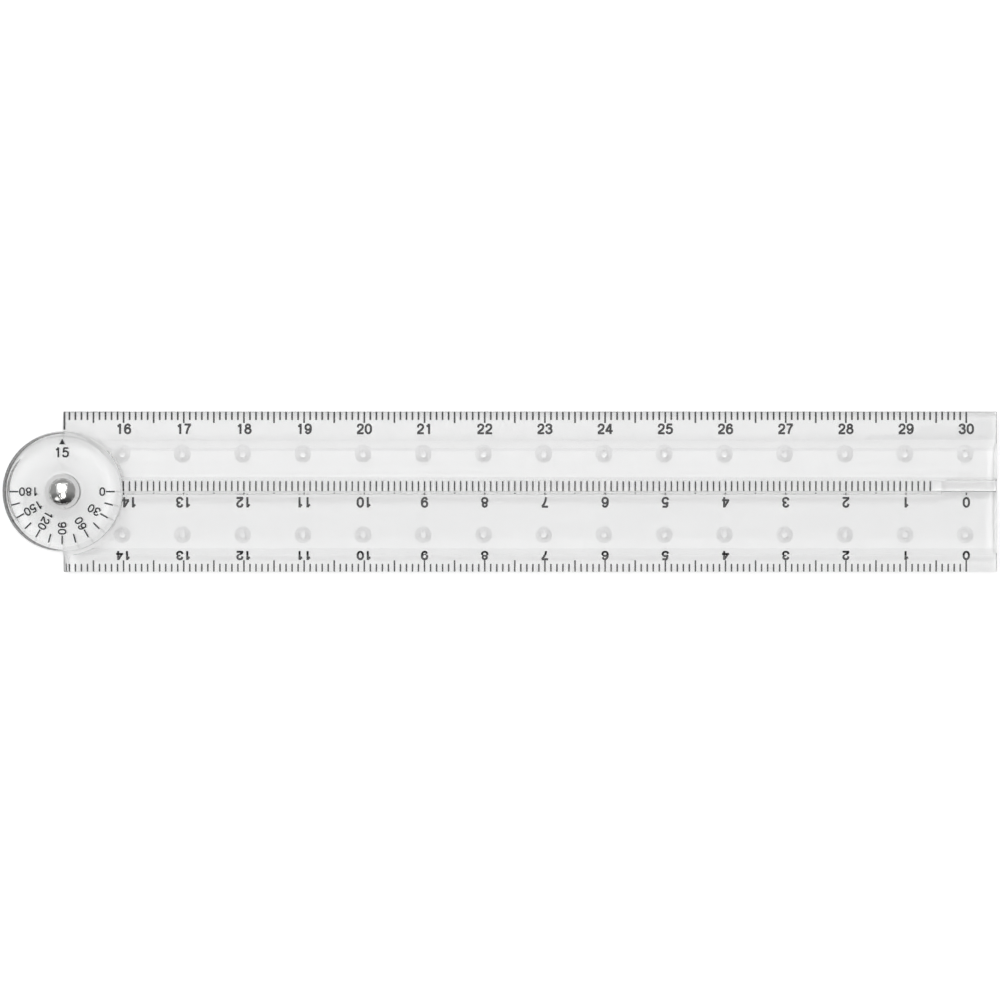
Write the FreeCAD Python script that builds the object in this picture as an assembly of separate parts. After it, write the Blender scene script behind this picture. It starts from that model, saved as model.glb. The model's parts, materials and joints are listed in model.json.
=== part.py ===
"""Folding set square: two clear ruler arms that turn on a riveted angle dial.

Folded, the arms lie side by side as a 15 cm ruler. Opened, they make any angle up to a straight 30 cm ruler.
The scale arm carries the dial on top of the hinge; the swing arm has the lug underneath it. Along the seam the
scale arm has a low tongue, and the swing arm has a raised marking flange that lies over that tongue.

Frame: millimetres, +Z up, origin under the middle of the folded ruler, on the face that it lies on.
+X runs from the hinge to the free ends, and +Y from the swing arm to the scale arm.
"""

import FreeCAD
import Part

import math
import os

# ---- arms ----
scale_length = 150.0  # hinge axis to the last centimetre mark
end_margin = 5.0  # plastic beyond the last mark
end_setback = 0.05  # each arm's hinge end stops short of the line through the hinge axis
edge_reach = 13.3  # hinge axis to either measuring edge
plate_thickness = 2.6
edge_thickness = 1.6  # at the measuring edge
step_foot_thickness = 2.1  # where the bevel meets the step up to the plate
scale_bevel_width = 4.8
scale_step_width = 1.75
swing_bevel_width = 2.8
swing_step_width = 1.1
top_chamfer = 0.45  # along the seam, the nick and the free ends
edge_break = 0.15  # along the underside's measuring edges and free ends
end_bevel_width = 0.85  # on the swing arm's hinge end, beyond the dial
end_bevel_drop = 1.2

# ---- seam between the folded arms ----
seam_offset = 1.95  # the scale arm's upper wall, from the line through the hinge axis
seam_gap = 0.15  # between facing walls when folded
tongue_thickness = 0.7
lap_gap = 0.1  # between the tongue and the flange over it
flange_thickness = 0.7
ledge_width = 0.35  # the flange's level runs this far into the arm
ledge_wall_lean = 0.1  # of the wall from the ledge up to the plate
nail_nick_length = 9.2  # the flange stops this far from the free end
nick_corner_radius = 0.7

# ---- non-slip dimples in the underside ----
dimple_pitch = 10.0
dimple_setback = 0.2  # each dimple's centre, from its centimetre mark towards the hinge
dimple_radius = 1.4
dimple_depth = 0.4
dimple_floor_radius = 0.65
scale_dimple_offset = 6.35  # each row, from the line through the hinge axis
swing_dimple_offset = 6.95

# ---- hinge ----
lug_radius = 9.0  # the swing arm's half of the hinge
lug_thickness = 1.6
lug_side_gap = 0.2
dial_radius = 10.0  # the scale arm's half of the hinge
dial_thickness = 2.25
dial_edge_round = 1.3
dial_side_gap = 0.6
dial_cove_radius = 0.6  # between the dial's wall and the scale arm's plate

# ---- rivet and washers ----
shank_radius = 1.2
bore_clearance = 0.05
running_gap = 0.05  # between faces that turn on each other
head_radius = 2.25
head_height = 1.15
head_rim_height = 0.15
tail_radius = 1.9
tail_thickness = 0.25
tail_bevel = 0.1
tail_inset = 0.1  # the tail stops short of the face that the ruler lies on
tail_hole_radius = 0.7
tail_hole_depth = 1.2
washer_side_gap = 0.15
front_washer_radius = 2.9
front_washer_thickness = 0.4
head_sink = 0.1  # the head's seat lies this far under the dial's face
friction_washer_radius = 2.9
friction_washer_thickness = 0.1
spring_radius = 2.8
spring_thickness = 0.1
spring_height = 0.25
back_washer_radius = 2.9
back_washer_thickness = 0.15

# ---- places worked out from those sizes ----
arm_end = scale_length + end_margin
pivot_x = (dial_radius - arm_end) / 2
bore_radius = shank_radius + bore_clearance
flange_bottom = tongue_thickness + lap_gap
flange_top = flange_bottom + flange_thickness
dial_bottom = lug_thickness + friction_washer_thickness + running_gap
dial_top = dial_bottom + dial_thickness
front_recess_depth = head_sink + front_washer_thickness
front_recess_radius = front_washer_radius + washer_side_gap
tail_top = tail_inset + tail_thickness
back_washer_top = tail_top + back_washer_thickness
back_recess_depth = back_washer_top + spring_height + running_gap
back_recess_radius = max(back_washer_radius, spring_radius) + washer_side_gap
head_seat = dial_top - head_sink
lug_clearance_radius = lug_radius + lug_side_gap
dial_clearance_radius = dial_radius + dial_side_gap
above_all = dial_top + head_height  # clears everything that a cut has to pass


def pivot_point(x, y, z):
    """A point given from the hinge axis."""
    return FreeCAD.Vector(pivot_x + x, y, z)


def prism(outline, start, end):
    """An outline of (y, z) points run along X, with start and end given from the hinge axis."""
    points = [pivot_point(start, y, z) for y, z in outline]
    face = Part.Face(Part.makePolygon(points + points[:1]))
    return face.extrude(FreeCAD.Vector(end - start, 0, 0))


def cross_prism(outline, start, end):
    """An outline of (x, z) points run along Y."""
    points = [pivot_point(x, start, z) for x, z in outline]
    face = Part.Face(Part.makePolygon(points + points[:1]))
    return face.extrude(FreeCAD.Vector(0, end - start, 0))


def disc(radius, bottom, top):
    """A cylinder on the hinge axis."""
    return Part.makeCylinder(radius, top - bottom, pivot_point(0, 0, bottom))


def ring(outer, inner, bottom, top):
    """A flat washer on the hinge axis."""
    return disc(outer, bottom, top).cut(disc(inner, bottom, top))


def edges_at(shape, z):
    """The edges of a shape that lie level at one height."""
    return [e for e in shape.Edges if abs(e.BoundBox.ZMin - z) < 1e-6 and abs(e.BoundBox.ZMax - z) < 1e-6]


def turned(*curves):
    """A closed outline of curves in the hinge axis's own X and Z plane, turned about that axis."""
    face = Part.Face(Part.Wire([curve.toShape() for curve in curves]))
    return face.revolve(pivot_point(0, 0, 0), FreeCAD.Vector(0, 0, 1), 360)


def cap(radius, base, rise):
    """A spherical cap on the hinge axis that stands on a circle of the given radius."""
    sphere_radius = (radius**2 + rise**2) / (2 * rise)
    sphere = Part.makeSphere(sphere_radius, pivot_point(0, 0, base + rise - sphere_radius))
    return sphere.common(disc(radius, base, base + rise))


def dimples(row_y):
    """The cutters for one dished hollow in the underside at each centimetre."""
    hollows = []
    for number in range(1, int(scale_length / dimple_pitch + 1e-6) + 1):
        place = pivot_point(dimple_pitch * number - dimple_setback, row_y, 0)
        hollows.append(Part.makeCone(dimple_radius, dimple_floor_radius, dimple_depth, place))
    return hollows


def free_end_chamfers(start, end):
    """The corners taken off an arm at its free end: the plate's upper one, and the underside's edge."""
    upper = [
        (arm_end - top_chamfer, plate_thickness),
        (arm_end, plate_thickness - top_chamfer),
        (arm_end + top_chamfer, plate_thickness - top_chamfer),
        (arm_end + top_chamfer, plate_thickness + top_chamfer),
        (arm_end - top_chamfer, plate_thickness + top_chamfer),
    ]
    lower = [(arm_end - edge_break, 0), (arm_end + edge_break, 0), (arm_end + edge_break, 2 * edge_break)]
    return [cross_prism(outline, start, end) for outline in (upper, lower)]


def scale_arm_plate():
    """The upper arm's section: bevelled measuring edge, step, plate, seam wall and tongue."""
    step_foot = edge_reach - scale_bevel_width
    outline = [
        (seam_gap, 0),
        (edge_reach - edge_break, 0),
        (edge_reach, edge_break),
        (edge_reach, edge_thickness),
        (step_foot, step_foot_thickness),
        (step_foot - scale_step_width, plate_thickness),
        (seam_offset + top_chamfer, plate_thickness),
        (seam_offset, plate_thickness - top_chamfer),
        (seam_offset, tongue_thickness),
        (seam_gap, tongue_thickness),
    ]
    return prism(outline, end_setback, arm_end)


def dial_cove():
    """The hollow fillet where the dial stands on the scale arm, cut to the arm's own quarter."""
    foot = dial_radius + dial_cove_radius
    wall_top = plate_thickness + dial_cove_radius
    hollow = dial_cove_radius * (1 - math.sqrt(0.5))
    wall = pivot_point(dial_radius, 0, wall_top)
    middle = pivot_point(dial_radius + hollow, 0, plate_thickness + hollow)
    toe = pivot_point(foot, 0, plate_thickness)
    corner = pivot_point(dial_radius, 0, plate_thickness)
    fillet = turned(Part.Arc(wall, middle, toe), Part.LineSegment(toe, corner), Part.LineSegment(corner, wall))
    step_top = edge_reach - scale_bevel_width - scale_step_width
    inner = seam_offset + top_chamfer
    quarter = [(inner, plate_thickness), (step_top, plate_thickness), (step_top, wall_top), (inner, wall_top)]
    return fillet.common(prism(quarter, end_setback, foot))


def dial_disc():
    """The dial: a thick round plate with a rounded shoulder."""
    plate = disc(dial_radius, dial_bottom, dial_top)
    return plate.makeFillet(dial_edge_round, edges_at(plate, dial_top))


def make_scale_arm():
    """The arm with the 15 to 30 scale, moulded in one piece with the dial."""
    plate = scale_arm_plate().cut(free_end_chamfers(0, edge_reach))
    plate = plate.cut(disc(lug_clearance_radius, 0, dial_bottom))
    arm = plate.cut(dimples(scale_dimple_offset)).fuse(dial_cove()).fuse(dial_disc())
    arm = arm.cut(disc(front_recess_radius, dial_top - front_recess_depth, above_all))
    return arm.cut(disc(bore_radius, 0, above_all)).removeSplitter()


def swing_arm_plate():
    """The lower arm's section: marking flange, ledge, plate, step and bevelled measuring edge."""
    step_foot = -edge_reach + swing_bevel_width
    outline = [
        (0, 0),
        (0, flange_bottom),
        (seam_offset - seam_gap, flange_bottom),
        (seam_offset - seam_gap, flange_top),
        (-ledge_width, flange_top),
        (-ledge_width - ledge_wall_lean, plate_thickness),
        (step_foot + swing_step_width, plate_thickness),
        (step_foot, step_foot_thickness),
        (-edge_reach, edge_thickness),
        (-edge_reach, edge_break),
        (-edge_reach + edge_break, 0),
    ]
    return prism(outline, end_setback, arm_end)


def nail_nick():
    """The room for a fingernail at the free end, with its inner corner rounded."""
    start = arm_end - nail_nick_length
    width = seam_offset
    cutter = Part.makeBox(nail_nick_length + end_margin, width, plate_thickness, pivot_point(start, 0, 0))
    foot = pivot_point(start, 0, 0)
    corner = [e for e in cutter.Edges if all(math.hypot(v.X - foot.x, v.Y) < 1e-6 for v in e.Vertexes)]
    return cutter.makeFillet(nick_corner_radius, corner)


def nick_wall():
    """The full-height wall beside the nick, in place of the ledge."""
    back = -top_chamfer - ledge_width - ledge_wall_lean
    outline = [
        (back, 0),
        (0, 0),
        (0, plate_thickness - top_chamfer),
        (-top_chamfer, plate_thickness),
        (back, plate_thickness),
    ]
    return prism(outline, arm_end - nail_nick_length, arm_end)


def hinge_end_bevel():
    """The slope on the swing arm's hinge end, outside the dial, of one width all along the bevelled top."""
    outline = [
        (end_setback, edge_thickness - end_bevel_drop),
        (end_setback + end_bevel_width, edge_thickness),
        (end_setback + end_bevel_width, plate_thickness),
        (end_setback, plate_thickness),
    ]
    points = [pivot_point(x, -edge_reach, z) for x, z in outline]
    face = Part.Face(Part.makePolygon(points + points[:1]))
    return face.extrude(FreeCAD.Vector(0, swing_bevel_width, step_foot_thickness - edge_thickness))


def lug_disc():
    """The lug under the dial, with its lower edge broken."""
    lug = disc(lug_radius, 0, lug_thickness)
    return lug.makeChamfer(edge_break, edges_at(lug, 0))


def make_swing_arm():
    """The arm with the 0 to 15 scales, moulded in one piece with the hinge lug."""
    plate = swing_arm_plate().cut(nail_nick()).fuse(nick_wall())
    plate = plate.cut(free_end_chamfers(-edge_reach, seam_offset) + [hinge_end_bevel()])
    arm = plate.cut(dimples(-swing_dimple_offset))
    arm = arm.cut(disc(dial_clearance_radius, lug_thickness, above_all))
    arm = arm.fuse(lug_disc())
    arm = arm.cut(disc(back_recess_radius, 0, back_recess_depth))
    return arm.cut(disc(bore_radius, 0, lug_thickness)).removeSplitter()


def make_rivet():
    """A domed semi-tubular rivet, with its tail rolled over the back washer."""
    rim_top = head_seat + head_rim_height
    head = disc(head_radius, head_seat, rim_top).fuse(cap(head_radius, rim_top, head_height - head_rim_height))
    tail = disc(tail_radius, tail_inset, tail_top)
    tail = tail.makeChamfer(tail_bevel, edges_at(tail, tail_inset))
    rivet = head.fuse([tail, disc(shank_radius, tail_inset, head_seat)])
    return rivet.cut(disc(tail_hole_radius, tail_inset, tail_inset + tail_hole_depth)).removeSplitter()


def make_front_washer():
    """The washer under the rivet's head, in the dial's recess."""
    return ring(front_washer_radius, bore_radius, head_seat - front_washer_thickness, head_seat)


def make_friction_washer():
    """The slip washer between the dial and the lug."""
    bottom = dial_bottom - friction_washer_thickness
    return ring(friction_washer_radius, bore_radius, bottom, dial_bottom)


def make_spring_washer():
    """A shallow disc spring: its outer rim presses on the lug, its inner rim on the back washer."""
    top = back_washer_top + spring_height
    corners = [
        pivot_point(bore_radius, 0, back_washer_top),
        pivot_point(spring_radius, 0, top - spring_thickness),
        pivot_point(spring_radius, 0, top),
        pivot_point(bore_radius, 0, back_washer_top + spring_thickness),
    ]
    return turned(*(Part.LineSegment(*ends) for ends in zip(corners, corners[1:] + corners[:1])))


def make_back_washer():
    """The washer that the rivet's tail is rolled against."""
    return ring(back_washer_radius, bore_radius, tail_top, back_washer_top)


def main():
    """Writes each piece to its own STEP file."""
    os.makedirs("parts", exist_ok=True)
    pieces = {
        "scale_arm": make_scale_arm(),
        "swing_arm": make_swing_arm(),
        "pivot_rivet": make_rivet(),
        "front_washer": make_front_washer(),
        "friction_washer": make_friction_washer(),
        "spring_washer": make_spring_washer(),
        "back_washer": make_back_washer(),
    }
    for name, shape in pieces.items():
        box = shape.BoundBox
        print(
            f"{name}: valid {shape.isValid()}, solids {len(shape.Solids)}, volume {shape.Volume:.2f}, "
            f"x {box.XMin:.2f}..{box.XMax:.2f}, y {box.YMin:.2f}..{box.YMax:.2f}, z {box.ZMin:.2f}..{box.ZMax:.2f}"
        )
        shape.exportStep(f"parts/{name}.step")


main()
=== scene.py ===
"""Dresses the folding set square: its clear mouldings, their printed scales, and every finish."""

import json
import math

import bpy
from mathutils import Matrix, Vector


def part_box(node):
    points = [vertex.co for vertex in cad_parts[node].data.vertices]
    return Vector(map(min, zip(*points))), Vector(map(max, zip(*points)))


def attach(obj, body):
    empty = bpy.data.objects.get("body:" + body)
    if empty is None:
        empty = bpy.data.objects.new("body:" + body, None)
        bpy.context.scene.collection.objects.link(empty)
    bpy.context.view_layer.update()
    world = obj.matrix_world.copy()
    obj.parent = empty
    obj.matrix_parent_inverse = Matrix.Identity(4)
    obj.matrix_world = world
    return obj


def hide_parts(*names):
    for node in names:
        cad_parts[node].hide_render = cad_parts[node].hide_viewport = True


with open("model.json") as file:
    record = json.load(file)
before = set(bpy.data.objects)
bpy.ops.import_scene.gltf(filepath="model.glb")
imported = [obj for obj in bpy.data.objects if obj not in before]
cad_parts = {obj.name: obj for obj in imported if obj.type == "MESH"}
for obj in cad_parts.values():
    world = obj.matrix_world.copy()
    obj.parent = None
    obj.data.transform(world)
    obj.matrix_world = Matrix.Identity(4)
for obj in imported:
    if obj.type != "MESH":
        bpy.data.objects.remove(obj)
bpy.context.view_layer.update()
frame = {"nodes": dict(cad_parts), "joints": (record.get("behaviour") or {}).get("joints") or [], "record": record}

MM = 0.001

# ---- both arms, in mm from the hinge axis and up from the face that they lie on ----
HINGE_X = frame["joints"][0]["pos_m"][0] / MM
SCALE_ARM_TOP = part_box("scale_arm")[1]
EDGE_REACH = SCALE_ARM_TOP[1] / MM
ARM_START = 0.05
ARM_END = SCALE_ARM_TOP[0] / MM - HINGE_X
LAST_MARK = 150
PLATE_TOP = 2.6
EDGE_TOP = 1.6  # at the measuring edge
STEP_FOOT = 2.1
TOP_CHAMFER = 0.45
EDGE_BREAK = 0.15
END_BREAK = 0.03  # across the underside's free end
CORNER_ROUND = 0.05  # how far a sharp corner's rounding reaches along each side
SHARP_TURN = math.radians(40)
SCALE_BEVEL_WIDTH = 4.8
SCALE_STEP_WIDTH = 1.75
SWING_BEVEL_WIDTH = 2.8
SWING_STEP_WIDTH = 1.1
END_BEVEL = (0.85, 1.2)  # along X and down, on the swing arm's hinge end

# ---- the seam ----
SEAM_WALL = 1.95
SEAM_GAP = 0.15
TONGUE_TOP = 0.7
FLANGE_BOTTOM = 0.8
FLANGE_TOP = 1.5
LEDGE = 0.35
LEDGE_LEAN = 0.1
NICK_LENGTH = 9.2
NICK_CORNER = 0.7
NICK_DRAFT = 0.12  # how far the walls beside the nick lean out at their foot
NICK_BREAK = 0.1  # on the swing arm's upper edge beside the nick
NICK_DRAFT_TOP = 2.05  # where the scale arm's wall stands upright again
NICK_OVERLAP = 0.2  # how far its leaning part reaches into the plastic behind it

# ---- the dimples in the undersides ----
DIMPLE_RADIUS = 1.4
DIMPLE_DEPTH = 0.4
STUD_RADIUS = 0.5
DIMPLE_SETBACK = 0.2  # towards the hinge from each centimetre mark
SCALE_DIMPLES_Y = 6.2
SWING_DIMPLES_Y = -7.15

# ---- the hinge ----
DIAL_RADIUS = 10
DIAL_BOTTOM = 1.75
DIAL_TOP = SCALE_ARM_TOP[2] / MM
DIAL_ROUND = 1.3
DIAL_COVE = 0.6
DIAL_CLEARANCE = 10.6
LUG_RADIUS = 9
LUG_TOP = 1.6
LUG_CLEARANCE = 9.2
BORE_RADIUS = 1.25
RECESS_RADIUS = 3.05
FRONT_RECESS_FLOOR = 3.5
BACK_RECESS_TOP = 0.8
COVE_REACH = 1  # how far the ring that makes the cove reaches into the dial

# ---- cutters ----
ABOVE_ALL = 6  # higher than every piece
CUT_PAST = 1  # how far a cutter reaches beyond the faces that it leaves alone
MERGE_DISTANCE = 0.0002  # vertices nearer than this are one

# ---- how finely the round faces are divided ----
TURN_STEPS = 144  # round the hinge
SHOULDER_STEPS = 24
COVE_STEPS = 12
STROKE_STEPS = 4  # in each stretch of a digit's smooth stroke
NICK_STEPS = 12
DIMPLE_TURN_STEPS = 48
DIMPLE_DISH_STEPS = 12
CORNER_STEPS = 4
CREASE = math.radians(5)  # faces that meet at more than this stay crisp

# ---- ink ----
INK_THICKNESS = 0.02
INK_HEIGHT = 0.012  # the underside's print, from the face that it is printed on into the plastic
EDGE_MARGIN = 0.16  # the marks start inside the underside's broken edge
FIRST_MARK_X = 0.2  # the 15 mark, as near the arm's end as it fits
SCALE_TICK_WIDTH = 0.28
SCALE_TICKS = {"short": 1.3, "long": 1.8, "first": 2.9}
SWING_TICK_WIDTH = 0.25
SWING_TICKS = {"short": 1.25, "long": 1.85}
SEAM_TICK_WIDTH = 0.24
SEAM_TICKS = {"flange": 1.62, "half": 0.25, "whole": 0.4}
SEAM_FLANGE_TICK_Y = 0.1
SEAM_PLATE_TICK_Y = -0.17
SEAM_TICK_RANGE = (10, 145)  # between the dial and the nick
TICK_CORNER = 0.2  # of the mark's width
SCALE_NUMBERS_Y = 10.36
SWING_NUMBERS_Y = {"swing_edge_numbers": -10.38, "swing_seam_numbers": -1.77}
SEAM_LAST_SHIFT = 1  # the seam's 14 stands clear of the dial
LABEL_HEIGHT = 1.72
LABEL_STROKE = 0.205  # of the digit's height
DIGIT_ADVANCE = 0.775  # of the digit's height
DIAL_TICK = (0.24, 1.47)  # width and length
DIAL_TICK_START = 7.26
DIAL_NUMBERS_END = 7.2  # the numbers' outer ends
DIAL_LABEL_HEIGHT = 1.43
DIAL_STROKE = 0.165
INDEX_PLACE = (-0.08, 6.51)  # of the dial's own 15
INDEX_HEIGHT = 1.66
POINTER_SIZE = 0.95
POINTER_TOP = 8.78

# ---- finishes ----
NOISE_RANGE = (0.3, 0.7)  # where nearly all of a noise's values lie
PLASTIC_IOR = 1.49
PLASTIC_DEPTH_COLOR = (0.955, 0.955, 0.955, 1)
PLASTIC_DENSITY = 650  # per metre: how fast the clear plastic greys with depth

# ---- stage ----
FLOOR_SIZE = 60
FLOOR_DROP = 0.00002  # under the arms, so that the two faces never fight
FLOOR_COLOR = (0.8, 0.8, 0.8, 1)
FLOOR_GLOW = {"Is Camera Ray": 0.52, "Is Glossy Ray": 0.1, "Is Transmission Ray": 0.04}
ROOM_FRONT = 0.03
ROOM_BEHIND = 0.35
ROOM_DEPTH = (-0.9, 0.1)  # where the one passes into the other, on a sphere of radius 1
HORIZON = 0.9
HORIZON_RISE = (0.04, 0.08)  # over which the pale band at the horizon fades out
LIGHT_AIM = 4  # above the hinge's lower face
CAMERA_PLACE = (0.00004, -0.00139, 1.2)
CAMERA_LENS = 259.9
CAMERA_SENSOR = 36
GLASS_BOUNCES = 24


def hinge_point(x, y, z):
    """A place in metres, from millimetres measured from the hinge axis."""
    return Vector((HINGE_X + x, y, z)) * MM


# ---------------------------------------------------------------- materials


def new_material(name):
    """A new material, its node tree and its main shader."""
    material = bpy.data.materials.new(name)
    material.use_nodes = True
    return material, material.node_tree, material.node_tree.nodes["Principled BSDF"]


def object_noise(tree, scale, detail=2.0):
    """Noise on the piece's own coordinates; scale is in features per metre."""
    place = tree.nodes.new("ShaderNodeTexCoord")
    noise = tree.nodes.new("ShaderNodeTexNoise")
    noise.inputs["Scale"].default_value = scale
    noise.inputs["Detail"].default_value = detail
    tree.links.new(place.outputs["Object"], noise.inputs["Vector"])
    return noise.outputs["Fac"]


def spread(tree, value, low, high, first, last):
    """Values from low to high, mapped onto first to last."""
    node = tree.nodes.new("ShaderNodeMapRange")
    for name, number in (("From Min", low), ("From Max", high), ("To Min", first), ("To Max", last)):
        node.inputs[name].default_value = number
    tree.links.new(value, node.inputs["Value"])
    return node.outputs["Result"]


def vary(tree, factor, low, high, socket):
    """Spreads a noise value over a range on a shader's socket."""
    tree.links.new(spread(tree, factor, *NOISE_RANGE, low, high), socket)


def tint(tree, factor, first, second, socket):
    """Blends two near colours by a noise value."""
    ramp = tree.nodes.new("ShaderNodeValToRGB")
    for stop, place, color in zip(ramp.color_ramp.elements, NOISE_RANGE, (first, second)):
        stop.position = place
        stop.color = (*color, 1)
    tree.links.new(factor, ramp.inputs["Fac"])
    tree.links.new(ramp.outputs["Color"], socket)


def ripple(tree, shader, factor, distance):
    """Turns a noise value into a shallow bump, in metres."""
    bump = tree.nodes.new("ShaderNodeBump")
    bump.inputs["Strength"].default_value = 1.0
    bump.inputs["Distance"].default_value = distance
    tree.links.new(factor, bump.inputs["Height"])
    tree.links.new(bump.outputs["Normal"], shader.inputs["Normal"])


def clear_acrylic():
    """Clear moulded plastic that greys with depth, with the faint waviness of a moulded face."""
    material, tree, shader = new_material("clear_acrylic")
    shader.inputs["Transmission Weight"].default_value = 1.0
    shader.inputs["IOR"].default_value = PLASTIC_IOR
    depth = tree.nodes.new("ShaderNodeVolumeAbsorption")
    depth.inputs["Color"].default_value = PLASTIC_DEPTH_COLOR
    depth.inputs["Density"].default_value = PLASTIC_DENSITY
    tree.links.new(depth.outputs["Volume"], tree.nodes["Material Output"].inputs["Volume"])
    first, second = (0.99, 0.991, 0.991), (0.998, 0.999, 0.999)
    tint(tree, object_noise(tree, 90), first, second, shader.inputs["Base Color"])
    vary(tree, object_noise(tree, 300), 0.0, 0.02, shader.inputs["Roughness"])
    ripple(tree, shader, object_noise(tree, 120), 0.000004)
    return material


def clear_nylon():
    """Natural nylon of the washers: pale and milky."""
    material, tree, shader = new_material("clear_nylon")
    shader.inputs["Transmission Weight"].default_value = 0.25
    shader.inputs["IOR"].default_value = 1.53
    tint(tree, object_noise(tree, 900), (0.78, 0.78, 0.78), (0.85, 0.85, 0.85), shader.inputs["Base Color"])
    vary(tree, object_noise(tree, 2500), 0.25, 0.4, shader.inputs["Roughness"])
    return material


def bright_nickel():
    """Mirror-polished plating of the rivet, with faint polishing haze."""
    material, tree, shader = new_material("bright_nickel")
    shader.inputs["Metallic"].default_value = 1.0
    tint(tree, object_noise(tree, 1200), (0.76, 0.76, 0.75), (0.82, 0.82, 0.81), shader.inputs["Base Color"])
    vary(tree, object_noise(tree, 3000), 0.06, 0.16, shader.inputs["Roughness"])
    ripple(tree, shader, object_noise(tree, 1300, 3), 0.00009)
    return material


def spring_steel():
    """Satin rolled steel of the hidden washers."""
    material, tree, shader = new_material("spring_steel")
    shader.inputs["Metallic"].default_value = 1.0
    tint(tree, object_noise(tree, 700), (0.68, 0.68, 0.67), (0.76, 0.76, 0.75), shader.inputs["Base Color"])
    vary(tree, object_noise(tree, 4000), 0.25, 0.45, shader.inputs["Roughness"])
    return material


def scale_ink():
    """Matt black printing ink, a little uneven in density."""
    material, tree, shader = new_material("scale_ink")
    shader.inputs["IOR"].default_value = 1.45
    first, second = (0.01, 0.01, 0.011), (0.03, 0.03, 0.032)
    tint(tree, object_noise(tree, 6000, 3), first, second, shader.inputs["Base Color"])
    vary(tree, object_noise(tree, 9000), 0.5, 0.75, shader.inputs["Roughness"])
    return material


# ---------------------------------------------------------------- clear mouldings


def deselect():
    """Leaves nothing selected, so that the next operator acts on its own object alone."""
    bpy.ops.object.select_all(action="DESELECT")


def pick(piece):
    """Selects one object and makes it the active one."""
    deselect()
    piece.select_set(True)
    bpy.context.view_layer.objects.active = piece


def copy_to(original, matrix):
    """A copy of a mesh object with its own mesh, moved by a matrix."""
    copy = original.copy()
    copy.data = original.data.copy()
    copy.data.transform(matrix)
    bpy.context.scene.collection.objects.link(copy)
    return copy


def joined(name, parts):
    """One object made of several, at the origin."""
    deselect()
    for part in parts:
        part.select_set(True)
    bpy.context.view_layer.objects.active = parts[0]
    bpy.ops.object.join()
    piece = bpy.context.object
    piece.name = piece.data.name = name
    return piece


def outline_of(points, fill):
    """A closed outline through points in one plane: a circle with its corners moved."""
    deselect()
    bpy.ops.mesh.primitive_circle_add(vertices=len(points), fill_type=fill)
    shape = bpy.context.object
    for vertex, place in zip(shape.data.vertices, points):
        vertex.co = place
    bpy.ops.object.mode_set(mode="EDIT")
    bpy.ops.mesh.select_all(action="SELECT")
    return shape


def close_solid():
    """Ends an edit with its doubles merged, its stray edges gone and its normals outward."""
    bpy.ops.mesh.select_all(action="SELECT")
    bpy.ops.mesh.remove_doubles(threshold=MERGE_DISTANCE)
    bpy.ops.mesh.delete_loose()
    bpy.ops.mesh.select_all(action="SELECT")
    bpy.ops.mesh.normals_make_consistent(inside=False)
    bpy.ops.object.mode_set(mode="OBJECT")


def extruded(points, direction):
    """A solid with one flat outline all along a direction."""
    solid = outline_of(points, "NGON")
    bpy.ops.mesh.extrude_region_move(TRANSFORM_OT_translate={"value": direction})
    close_solid()
    return solid


def bar(section, start, end):
    """A (y, z) section run along X."""
    return extruded([(start, y, z) for y, z in section], (end - start, 0, 0))


def rounded(section):
    """A section with its sharp corners above the lap joint rounded a little, as moulded ones are."""
    smooth = []
    for before, corner, after in zip(section[-1:] + section[:-1], section, section[1:] + section[:1]):
        corner, into, away = Vector(corner), Vector(corner) - Vector(before), Vector(after) - Vector(corner)
        if into.angle(away) < SHARP_TURN or corner.y < FLANGE_TOP:
            smooth.append(tuple(corner))
            continue
        first, last = corner - into.normalized() * CORNER_ROUND, corner + away.normalized() * CORNER_ROUND
        for step in range(CORNER_STEPS + 1):
            share = step / CORNER_STEPS
            smooth.append(tuple(first.lerp(corner, share).lerp(corner.lerp(last, share), share)))
    return smooth


def turned(profile, steps=TURN_STEPS):
    """A closed (radius, z) outline spun about the Z axis."""
    solid = outline_of([(radius, 0, z) for radius, z in profile], "NOTHING")
    bpy.ops.mesh.spin(steps=steps, angle=math.tau, center=(0, 0, 0), axis=(0, 0, 1))
    close_solid()
    return solid


def disc(radius, bottom, top):
    """A round plate on the hinge axis."""
    return turned([(0, bottom), (radius, bottom), (radius, top), (0, top)])


def arc(center, radius, start, end, steps):
    """Points on an arc in the radius and z plane, its angles in degrees up from the radius."""
    angles = [math.radians(start + (end - start) * step / steps) for step in range(steps + 1)]
    return [(center[0] + radius * math.cos(a), center[1] + radius * math.sin(a)) for a in angles]


def shaped(piece, operation, *tools):
    """Joins tools to a piece, or cuts them from it."""
    for tool in tools:
        step = piece.modifiers.new(operation, "BOOLEAN")
        step.operation = operation
        step.solver = "EXACT"
        step.object = tool
        pick(piece)
        bpy.ops.object.modifier_apply(modifier=step.name)
        bpy.data.objects.remove(tool)


def moulding(piece, name, node, body, material):
    """A finished clear piece: crisp edges, smooth round faces, at its place in metres."""
    piece.name = piece.data.name = name
    piece.data.transform(Matrix.Translation(hinge_point(0, 0, 0)) @ Matrix.Scale(MM, 4))
    pick(piece)
    bpy.ops.object.shade_smooth_by_angle(angle=CREASE)
    weights = piece.modifiers.new("weights", "WEIGHTED_NORMAL")
    weights.keep_sharp = True
    bpy.ops.object.modifier_apply(modifier=weights.name)
    piece.data.materials.clear()
    piece.data.materials.append(material)
    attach(piece, body)
    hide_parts(node)


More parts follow.
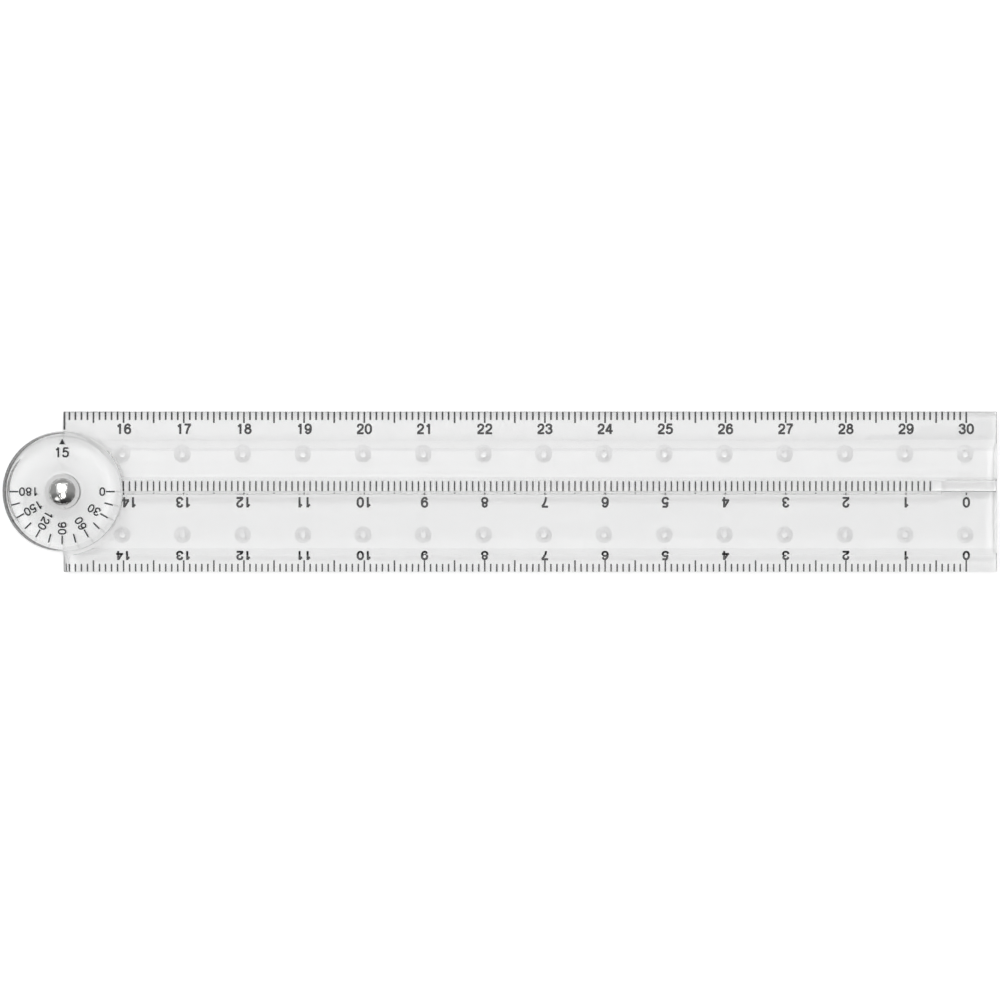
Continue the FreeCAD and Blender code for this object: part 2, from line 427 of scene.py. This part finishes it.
def dimples(y):
    """The cutters for a row of dished hollows, each with a stud left standing in its middle."""
    ball = (DIMPLE_RADIUS**2 + DIMPLE_DEPTH**2) / (2 * DIMPLE_DEPTH)
    rim = math.degrees(math.asin(DIMPLE_RADIUS / ball))
    stud = math.degrees(math.asin(STUD_RADIUS / ball))
    dish = arc((0, DIMPLE_DEPTH - ball), ball, 90 - rim, 90 - stud, DIMPLE_DISH_STEPS)
    one = turned(dish + [(STUD_RADIUS, -EDGE_BREAK), (DIMPLE_RADIUS, -EDGE_BREAK)], DIMPLE_TURN_STEPS)
    places = [(x - DIMPLE_SETBACK, y, 0) for x in range(10, LAST_MARK + 1, 10)]
    row = [copy_to(one, Matrix.Translation(place)) for place in places]
    bpy.data.objects.remove(one)
    return joined("dimples", row)


def free_end_cutters():
    """The chamfers across an arm's free end, on the upper and lower edges."""
    far, start = ARM_END + CUT_PAST, -EDGE_REACH - CUT_PAST
    back, foot = ARM_END - TOP_CHAMFER, PLATE_TOP - TOP_CHAMFER
    high = PLATE_TOP + CUT_PAST
    upper = [(back, PLATE_TOP), (ARM_END, foot), (far, foot), (far, high), (back, high)]
    back = ARM_END - END_BREAK
    lower = [(back, 0), (back, -CUT_PAST), (far, -CUT_PAST), (far, END_BREAK), (ARM_END, END_BREAK)]
    return [extruded([(x, start, z) for x, z in side], (0, -2 * start, 0)) for side in (upper, lower)]


def build_scale_arm(material):
    """The arm with the 15 to 30 scale, moulded in one piece with the dial."""
    step_foot = EDGE_REACH - SCALE_BEVEL_WIDTH
    step_top = step_foot - SCALE_STEP_WIDTH
    section = [(SEAM_GAP, 0), (EDGE_REACH - EDGE_BREAK, 0), (EDGE_REACH, EDGE_BREAK), (EDGE_REACH, EDGE_TOP)]
    section += [(step_foot, STEP_FOOT), (step_top, PLATE_TOP), (SEAM_WALL + TOP_CHAMFER, PLATE_TOP)]
    section += [(SEAM_WALL, PLATE_TOP - TOP_CHAMFER), (SEAM_WALL, TONGUE_TOP), (SEAM_GAP, TONGUE_TOP)]
    arm = bar(rounded(section), ARM_START, ARM_END)

    # the wall beside the nick leans out at its foot
    foot, wall = SEAM_WALL - NICK_DRAFT, SEAM_WALL + NICK_OVERLAP
    bottom = TONGUE_TOP - NICK_OVERLAP
    draft = [(wall, bottom), (foot, bottom), (foot, TONGUE_TOP)]
    draft += [(SEAM_WALL, NICK_DRAFT_TOP), (wall, NICK_DRAFT_TOP)]
    shaped(arm, "UNION", bar(draft, ARM_END - NICK_LENGTH + NICK_CORNER, ARM_END))
    shaped(arm, "DIFFERENCE", *free_end_cutters(), disc(LUG_CLEARANCE, -CUT_PAST, DIAL_BOTTOM))
    shaped(arm, "DIFFERENCE", dimples(SCALE_DIMPLES_Y))

    # the cove between the dial and the plate, on the arm's own quarter of the hinge
    hollow = arc((DIAL_RADIUS + DIAL_COVE, PLATE_TOP + DIAL_COVE), DIAL_COVE, 180, 270, COVE_STEPS)
    inside = DIAL_RADIUS - COVE_REACH
    cove = turned(hollow + [(inside, PLATE_TOP), (inside, PLATE_TOP + DIAL_COVE)])
    inner = SEAM_WALL + TOP_CHAMFER
    quarter = [(inner, PLATE_TOP), (step_top, PLATE_TOP), (step_top, DIAL_TOP), (inner, DIAL_TOP)]
    shaped(cove, "INTERSECT", bar(quarter, ARM_START, DIAL_RADIUS + CUT_PAST))

    # the dial, with the recess round the rivet's head
    shoulder = arc((DIAL_RADIUS - DIAL_ROUND, DIAL_TOP - DIAL_ROUND), DIAL_ROUND, 0, 90, SHOULDER_STEPS)
    profile = [(0, DIAL_BOTTOM), (DIAL_RADIUS, DIAL_BOTTOM), *shoulder]
    profile += [(RECESS_RADIUS, DIAL_TOP), (RECESS_RADIUS, FRONT_RECESS_FLOOR), (0, FRONT_RECESS_FLOOR)]
    shaped(arm, "UNION", cove, turned(profile))
    shaped(arm, "DIFFERENCE", disc(BORE_RADIUS, -CUT_PAST, ABOVE_ALL))
    moulding(arm, "scale_arm_moulding", "scale_arm", "scale_side", material)


def build_swing_arm(material):
    """The arm with the two 0 to 14 scales, moulded in one piece with the hinge lug."""
    step_foot = -EDGE_REACH + SWING_BEVEL_WIDTH
    flange_edge = SEAM_WALL - SEAM_GAP
    section = [(0, 0), (0, FLANGE_BOTTOM), (flange_edge, FLANGE_BOTTOM), (flange_edge, FLANGE_TOP)]
    section += [(-LEDGE, FLANGE_TOP), (-LEDGE - LEDGE_LEAN, PLATE_TOP)]
    section += [(step_foot + SWING_STEP_WIDTH, PLATE_TOP), (step_foot, STEP_FOOT), (-EDGE_REACH, EDGE_TOP)]
    section += [(-EDGE_REACH, EDGE_BREAK), (-EDGE_REACH + EDGE_BREAK, 0)]
    arm = bar(rounded(section), ARM_START, ARM_END)

    # the flange gives way to the nick, and the ledge to a full wall beside it
    nick_start = ARM_END - NICK_LENGTH
    corner = arc((NICK_CORNER, NICK_CORNER), NICK_CORNER, 180, 270, NICK_STEPS)
    plan = [(nick_start + x, y) for x, y in corner]
    plan += [(ARM_END + CUT_PAST, 0), (ARM_END + CUT_PAST, SEAM_WALL), (nick_start, SEAM_WALL)]
    nick = extruded([(x, y, -CUT_PAST) for x, y in plan], (0, 0, PLATE_TOP + 2 * CUT_PAST))
    shaped(arm, "DIFFERENCE", nick)
    back = -TOP_CHAMFER - LEDGE - LEDGE_LEAN
    wall = [(back, 0), (NICK_DRAFT, 0), (0, PLATE_TOP - NICK_BREAK)]
    wall += [(-NICK_BREAK, PLATE_TOP), (back, PLATE_TOP)]
    shaped(arm, "UNION", bar(wall, nick_start, ARM_END))

    # the bevel on the hinge end, outside the dial
    width, drop = END_BEVEL
    head = ARM_START + width
    slope = [(ARM_START, EDGE_TOP - drop), (head, EDGE_TOP), (head, PLATE_TOP), (ARM_START, PLATE_TOP)]
    outline = [(x, -EDGE_REACH, z) for x, z in slope]
    end_bevel = extruded(outline, (0, SWING_BEVEL_WIDTH, STEP_FOOT - EDGE_TOP))
    shaped(arm, "DIFFERENCE", end_bevel, *free_end_cutters(), dimples(SWING_DIMPLES_Y))
    shaped(arm, "DIFFERENCE", disc(DIAL_CLEARANCE, LUG_TOP, ABOVE_ALL))

    # the lug, with the recess for the washers and the rivet's tail
    foot = [(0, 0), (LUG_RADIUS - EDGE_BREAK, 0), (LUG_RADIUS, EDGE_BREAK)]
    shaped(arm, "UNION", turned(foot + [(LUG_RADIUS, LUG_TOP), (0, LUG_TOP)]))
    shaped(arm, "DIFFERENCE", disc(RECESS_RADIUS, -CUT_PAST, BACK_RECESS_TOP))
    shaped(arm, "DIFFERENCE", disc(BORE_RADIUS, -CUT_PAST, ABOVE_ALL))
    moulding(arm, "swing_arm_moulding", "swing_arm", "swing_side", material)


# ---------------------------------------------------------------- print


def ink_piece(name, parts, body, material):
    """Joins printed marks into one piece that rides on an arm."""
    piece = joined(name, parts)
    piece.data.materials.clear()
    piece.data.materials.append(material)
    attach(piece, body)


def tick_shape(width, length):
    """One printed mark that runs along +Y from the origin, its corners rounded off."""
    deselect()
    bpy.ops.mesh.primitive_cube_add(size=1, location=(0, 0.5, 0))
    bpy.ops.object.transform_apply()
    mark = bpy.context.object
    mark.data.transform(Matrix.Diagonal((width * MM, length * MM, INK_THICKNESS * MM, 1)))
    for edge in mark.data.edges:
        first, last = (mark.data.vertices[index].co for index in edge.vertices)
        edge.select = abs(first.z - last.z) > INK_THICKNESS * MM / 2
    for face in mark.data.polygons:
        face.select = False
    bpy.ops.object.mode_set(mode="EDIT")
    bpy.ops.mesh.select_mode(type="EDGE")
    bpy.ops.mesh.bevel(offset=width * MM * TICK_CORNER, segments=2)
    bpy.ops.object.mode_set(mode="OBJECT")
    return mark


def tick_shapes(width, lengths):
    """The marks of one scale, by name."""
    return {name: tick_shape(width, length) for name, length in lengths.items()}


# Each digit's strokes, through points in units of its height.
DIGITS = {
    "0": [
        [
            (0.387, 0.925),
            (0.6, 0.77),
            (0.64, 0.5),
            (0.6, 0.23),
            (0.387, 0.075),
            (0.174, 0.23),
            (0.134, 0.5),
            (0.174, 0.77),
            "closed",
        ]
    ],
    "1": [[(0.44, 0.0), (0.44, 1.0), "straight"], [(0.19, 0.76), (0.33, 0.79), (0.415, 0.97)]],
    "2": [
        [
            (0.14, 0.64),
            (0.21, 0.86),
            (0.395, 0.925),
            (0.58, 0.85),
            (0.63, 0.69),
            (0.55, 0.5),
            (0.34, 0.32),
            (0.19, 0.19),
            (0.14, 0.05),
        ],
        [(0.065, 0.075), (0.71, 0.075), "straight"],
    ],
    "3": [
        [
            (0.13, 0.7),
            (0.2, 0.865),
            (0.375, 0.925),
            (0.55, 0.86),
            (0.605, 0.735),
            (0.54, 0.595),
            (0.33, 0.545),
        ],
        [
            (0.33, 0.545),
            (0.56, 0.485),
            (0.64, 0.3),
            (0.56, 0.135),
            (0.375, 0.075),
            (0.19, 0.14),
            (0.115, 0.31),
        ],
    ],
    "4": [
        [(0.52, 0.0), (0.52, 1.0), "straight"],
        [(0.04, 0.295), (0.725, 0.295), "straight"],
        [(0.495, 0.95), (0.1, 0.31), "straight"],
    ],
    "5": [
        [(0.2, 0.925), (0.665, 0.925), "straight"],
        [(0.235, 0.93), (0.165, 0.47), "straight"],
        [
            (0.155, 0.48),
            (0.25, 0.59),
            (0.385, 0.62),
            (0.58, 0.54),
            (0.64, 0.345),
            (0.56, 0.14),
            (0.37, 0.075),
            (0.185, 0.13),
            (0.115, 0.28),
        ],
    ],
    "6": [
        [
            (0.615, 0.72),
            (0.55, 0.87),
            (0.4, 0.925),
            (0.22, 0.82),
            (0.137, 0.5),
            (0.2, 0.16),
            (0.39, 0.075),
            (0.58, 0.15),
            (0.64, 0.34),
            (0.58, 0.52),
            (0.41, 0.595),
            (0.23, 0.52),
            (0.15, 0.36),
        ]
    ],
    "7": [[(0.08, 0.925), (0.7, 0.925), "straight"], [(0.65, 0.9), (0.47, 0.65), (0.34, 0.34), (0.275, 0.0)]],
    "8": [
        [(0.387, 0.925), (0.585, 0.745), (0.387, 0.56), (0.19, 0.745), "closed"],
        [(0.387, 0.555), (0.645, 0.31), (0.387, 0.075), (0.13, 0.31), "closed"],
    ],
}


def half_turned(strokes):
    """A digit turned upside down in its own box: a 9 is a turned 6."""
    return [[(DIGIT_ADVANCE - x, 1 - y) for x, y in stroke] for stroke in strokes]


DIGITS["9"] = half_turned(DIGITS["6"])


def stroke_curve(points, width):
    """A smooth or straight line of ink through a few points, as a flat band."""
    kind = points[-1] if isinstance(points[-1], str) else "open"
    path = [point for point in points if not isinstance(point, str)]
    deselect()
    bpy.ops.curve.primitive_bezier_curve_add()
    curve = bpy.context.object
    spline = curve.data.splines[0]
    spline.bezier_points.add(len(path) - len(spline.bezier_points))
    for knot, (x, y) in zip(spline.bezier_points, path):
        knot.co = (x, y, 0)
        knot.handle_left_type = knot.handle_right_type = "VECTOR" if kind == "straight" else "AUTO"
    spline.use_cyclic_u = kind == "closed"
    spline.resolution_u = 1 if kind == "straight" else STROKE_STEPS
    curve.data.bevel_depth = width / 2
    curve.data.bevel_resolution = 0
    curve.data.use_fill_caps = True
    bpy.ops.object.convert(target="MESH")
    return bpy.context.object


def digit_shapes(width):
    """Every digit, one unit high, with strokes of one width pressed flat."""
    shapes = {}
    for digit, strokes in DIGITS.items():
        shapes[digit] = joined("digit_" + digit, [stroke_curve(stroke, width) for stroke in strokes])
        shapes[digit].data.transform(Matrix.Diagonal((1, 1, INK_THICKNESS / width / LABEL_HEIGHT, 1)))
    return shapes


def label(shapes, text, x, y, z, height, turn=0.0):
    """A number centred on x, y: copies of the digit shapes, set side by side and turned together."""
    place = Matrix.Translation(hinge_point(x, y, z)) @ Matrix.Rotation(turn, 4, "Z")
    place @= Matrix.Scale(height * MM, 4)
    left = -DIGIT_ADVANCE * len(text) / 2
    return [
        copy_to(shapes[digit], place @ Matrix.Translation((left + DIGIT_ADVANCE * index, -0.5, 0)))
        for index, digit in enumerate(text)
    ]


def set_mark(shape, x, y, z, inward):
    """A copy of a mark at x, from a line at y towards +Y or, where inward is -1, towards -Y."""
    return copy_to(shape, Matrix.Translation(hinge_point(x, y, z)) @ Matrix.Scale(inward, 4, (0, 1, 0)))


def tick_row(marks, y, inward):
    """Millimetre marks from a line at y: each fifth one is the long shape."""
    places = range(1, LAST_MARK + 1)
    return [set_mark(marks["long" if x % 5 == 0 else "short"], x, y, INK_HEIGHT, inward) for x in places]


def discard(shapes):
    """Removes the patterns that the print was copied from."""
    for shape in shapes:
        bpy.data.objects.remove(shape)


def print_scale_arm(shapes, ink):
    """The 15 to 30 scale along the upper arm's measuring edge."""
    marks = tick_shapes(SCALE_TICK_WIDTH, SCALE_TICKS)
    edge = EDGE_REACH - EDGE_MARGIN
    row = tick_row(marks, edge, -1)
    row.append(set_mark(marks["first"], FIRST_MARK_X, edge - SCALE_TICKS["first"], INK_HEIGHT, 1))
    ink_piece("scale_ticks", row, "scale_side", ink)
    discard(marks.values())
    numbers = []
    for number in range(16, 31):
        numbers += label(shapes, str(number), 10 * (number - 15), SCALE_NUMBERS_Y, INK_HEIGHT, LABEL_HEIGHT)
    ink_piece("scale_numbers", numbers, "scale_side", ink)


def print_swing_arm(shapes, ink):
    """The two 0 to 14 scales, upside down: one at the measuring edge, one at the seam."""
    marks = tick_shapes(SWING_TICK_WIDTH, SWING_TICKS)
    ink_piece("swing_edge_ticks", tick_row(marks, EDGE_MARGIN - EDGE_REACH, 1), "swing_side", ink)
    discard(marks.values())

    marks = tick_shapes(SEAM_TICK_WIDTH, SEAM_TICKS)
    first, end = SEAM_TICK_RANGE
    flange_height = FLANGE_BOTTOM + INK_HEIGHT
    row = [set_mark(marks["flange"], x, SEAM_FLANGE_TICK_Y, flange_height, 1) for x in range(first, end)]
    for x in (*range(first, end, 5), LAST_MARK):
        shape = marks["whole" if x % 10 == 0 else "half"]
        row.append(set_mark(shape, x, SEAM_PLATE_TICK_Y, INK_HEIGHT, -1))
    ink_piece("swing_seam_ticks", row, "swing_side", ink)
    discard(marks.values())

    for name, y in SWING_NUMBERS_Y.items():
        numbers = []
        for number in range(15):
            x = LAST_MARK - 10 * number
            if number == 14 and name == "swing_seam_numbers":
                x += SEAM_LAST_SHIFT
            numbers += label(shapes, str(number), x, y, INK_HEIGHT, LABEL_HEIGHT, math.pi)
        ink_piece(name, numbers, "swing_side", ink)


def print_dial(shapes, ink):
    """The 0 to 180 degree scale on the dial, and the pointer over the scale arm's own 15 mark."""
    height = DIAL_TOP + INK_THICKNESS / 2
    mark = tick_shape(*DIAL_TICK)
    middle = hinge_point(0, 0, height)
    ticks = []
    numbers = []
    for degrees in range(0, 181, 15):
        turn = math.radians(-degrees)
        place = Matrix.Translation(middle) @ Matrix.Rotation(turn - math.pi / 2, 4, "Z")
        ticks.append(copy_to(mark, place @ Matrix.Translation((0, DIAL_TICK_START * MM, 0))))
        if degrees % 30 == 0:
            text = str(degrees)
            radius = DIAL_NUMBERS_END - DIGIT_ADVANCE * DIAL_LABEL_HEIGHT * len(text) / 2
            x, y = radius * math.cos(turn), radius * math.sin(turn)
            upright = turn if degrees >= 90 else turn - math.pi
            numbers += label(shapes, text, x, y, height, DIAL_LABEL_HEIGHT, upright)
    numbers += label(shapes, "15", *INDEX_PLACE, height, INDEX_HEIGHT)
    ink_piece("dial_ticks", ticks, "scale_side", ink)
    ink_piece("dial_numbers", numbers, "scale_side", ink)
    discard([mark])

    deselect()
    bpy.ops.mesh.primitive_cylinder_add(vertices=3, radius=1, depth=1)
    pointer = bpy.context.object
    wide, tall, thick = pointer.dimensions
    size = POINTER_SIZE * MM
    pointer.data.transform(Matrix.Diagonal((size / wide, size / tall, INK_THICKNESS * MM / thick, 1)))
    top = max(vertex.co.y for vertex in pointer.data.vertices)
    pointer.data.transform(Matrix.Translation(hinge_point(0, POINTER_TOP, height) - Vector((0, top, 0))))
    ink_piece("dial_pointer", [pointer], "scale_side", ink)


plastic = clear_acrylic()
build_scale_arm(plastic)
build_swing_arm(plastic)

print_ink = scale_ink()
scale_digits = digit_shapes(LABEL_STROKE)
print_scale_arm(scale_digits, print_ink)
print_swing_arm(scale_digits, print_ink)
discard(scale_digits.values())
dial_digits = digit_shapes(DIAL_STROKE)
print_dial(dial_digits, print_ink)
discard(dial_digits.values())


# ---------------------------------------------------------------- finishes of the CAD nodes


finishes = {
    "clear_acrylic": plastic,
    "clear_nylon": clear_nylon(),
    "bright_nickel": bright_nickel(),
    "spring_steel": spring_steel(),
}
for row in frame["record"]["subparts"]:
    for material_slot in frame["nodes"][row["node"]].material_slots:
        material_slot.material = finishes[row["material_slot"]]


# ---------------------------------------------------------------- floor, light and camera


def floor():
    """A pale sheet that reads white, keeps the shadows and is seen in metal and through plastic."""
    deselect()
    bpy.ops.mesh.primitive_plane_add(size=FLOOR_SIZE, location=(0, 0, -FLOOR_DROP))
    sheet = bpy.context.object
    sheet.name = "floor"
    material = bpy.data.materials.new("pale_floor")
    material.use_nodes = True
    tree = material.node_tree
    tree.nodes.clear()
    output = tree.nodes.new("ShaderNodeOutputMaterial")
    both = tree.nodes.new("ShaderNodeAddShader")
    matt = tree.nodes.new("ShaderNodeBsdfDiffuse")
    matt.inputs["Color"].default_value = FLOOR_COLOR
    glow = tree.nodes.new("ShaderNodeEmission")
    rays = tree.nodes.new("ShaderNodeLightPath")
    level = None
    for kind, strength in FLOOR_GLOW.items():
        share = tree.nodes.new("ShaderNodeMath")
        share.operation = "MULTIPLY_ADD"
        share.inputs[1].default_value = strength
        share.inputs[2].default_value = 0.0
        tree.links.new(rays.outputs[kind], share.inputs[0])
        if level:
            tree.links.new(level, share.inputs[2])
        level = share.outputs[0]
    tree.links.new(level, glow.inputs["Strength"])
    tree.links.new(matt.outputs[0], both.inputs[0])
    tree.links.new(glow.outputs[0], both.inputs[1])
    tree.links.new(both.outputs[0], output.inputs["Surface"])
    sheet.data.materials.append(material)


def studio_world():
    """Soft surroundings: light overhead and behind, dark in front, a pale band at the horizon."""
    world = bpy.context.scene.world or bpy.data.worlds.new("studio")
    bpy.context.scene.world = world
    world.use_nodes = True
    tree = world.node_tree
    background = tree.nodes["Background"]
    place = tree.nodes.new("ShaderNodeTexCoord")
    parts = tree.nodes.new("ShaderNodeSeparateXYZ")
    tree.links.new(place.outputs["Generated"], parts.inputs["Vector"])
    depth = spread(tree, parts.outputs["Y"], *ROOM_DEPTH, ROOM_FRONT, ROOM_BEHIND)
    lowness = spread(tree, parts.outputs["Z"], *HORIZON_RISE, 1.0, 0.0)
    mix = tree.nodes.new("ShaderNodeMix")
    mix.data_type = "FLOAT"
    tree.links.new(lowness, mix.inputs[0])
    tree.links.new(depth, mix.inputs[2])
    mix.inputs[3].default_value = HORIZON
    tree.links.new(mix.outputs[0], background.inputs["Color"])
    background.inputs["Strength"].default_value = 1.0


def soft_light(name, direction, distance, size, radiance):
    """A square soft box that faces the hinge from a direction, with a given brightness of its face."""
    aim = hinge_point(0, 0, LIGHT_AIM)
    place = aim + Vector(direction).normalized() * distance
    deselect()
    bpy.ops.object.light_add(type="AREA", location=place)
    lamp = bpy.context.object
    lamp.name = name
    lamp.data.shape = "SQUARE"
    lamp.data.size = size
    lamp.data.energy = radiance * math.pi * size * size
    lamp.rotation_euler = (aim - place).to_track_quat("-Z", "Y").to_euler()


def top_camera():
    """The view from straight above."""
    bpy.ops.object.camera_add(location=CAMERA_PLACE, rotation=(0, 0, 0))
    camera = bpy.context.object
    camera.data.sensor_width = CAMERA_SENSOR
    camera.data.lens = CAMERA_LENS
    camera.data.clip_end = 100
    bpy.context.scene.camera = camera


floor()
studio_world()
soft_light("main_soft_box", (-0.05, 0.42, 0.91), distance=1.0, size=1.2, radiance=1.6)
soft_light("front_soft_box", (0.1, -0.45, 0.88), distance=1.0, size=0.55, radiance=2.0)
soft_light("left_soft_box", (-0.5, -0.69, 0.475), distance=1.2, size=0.45, radiance=1.2)
top_camera()
bpy.context.scene.view_settings.view_transform = "Standard"
bpy.context.scene.cycles.blur_glossy = 0.0
bpy.context.scene.cycles.max_bounces = GLASS_BOUNCES
bpy.context.scene.cycles.transmission_bounces = GLASS_BOUNCES
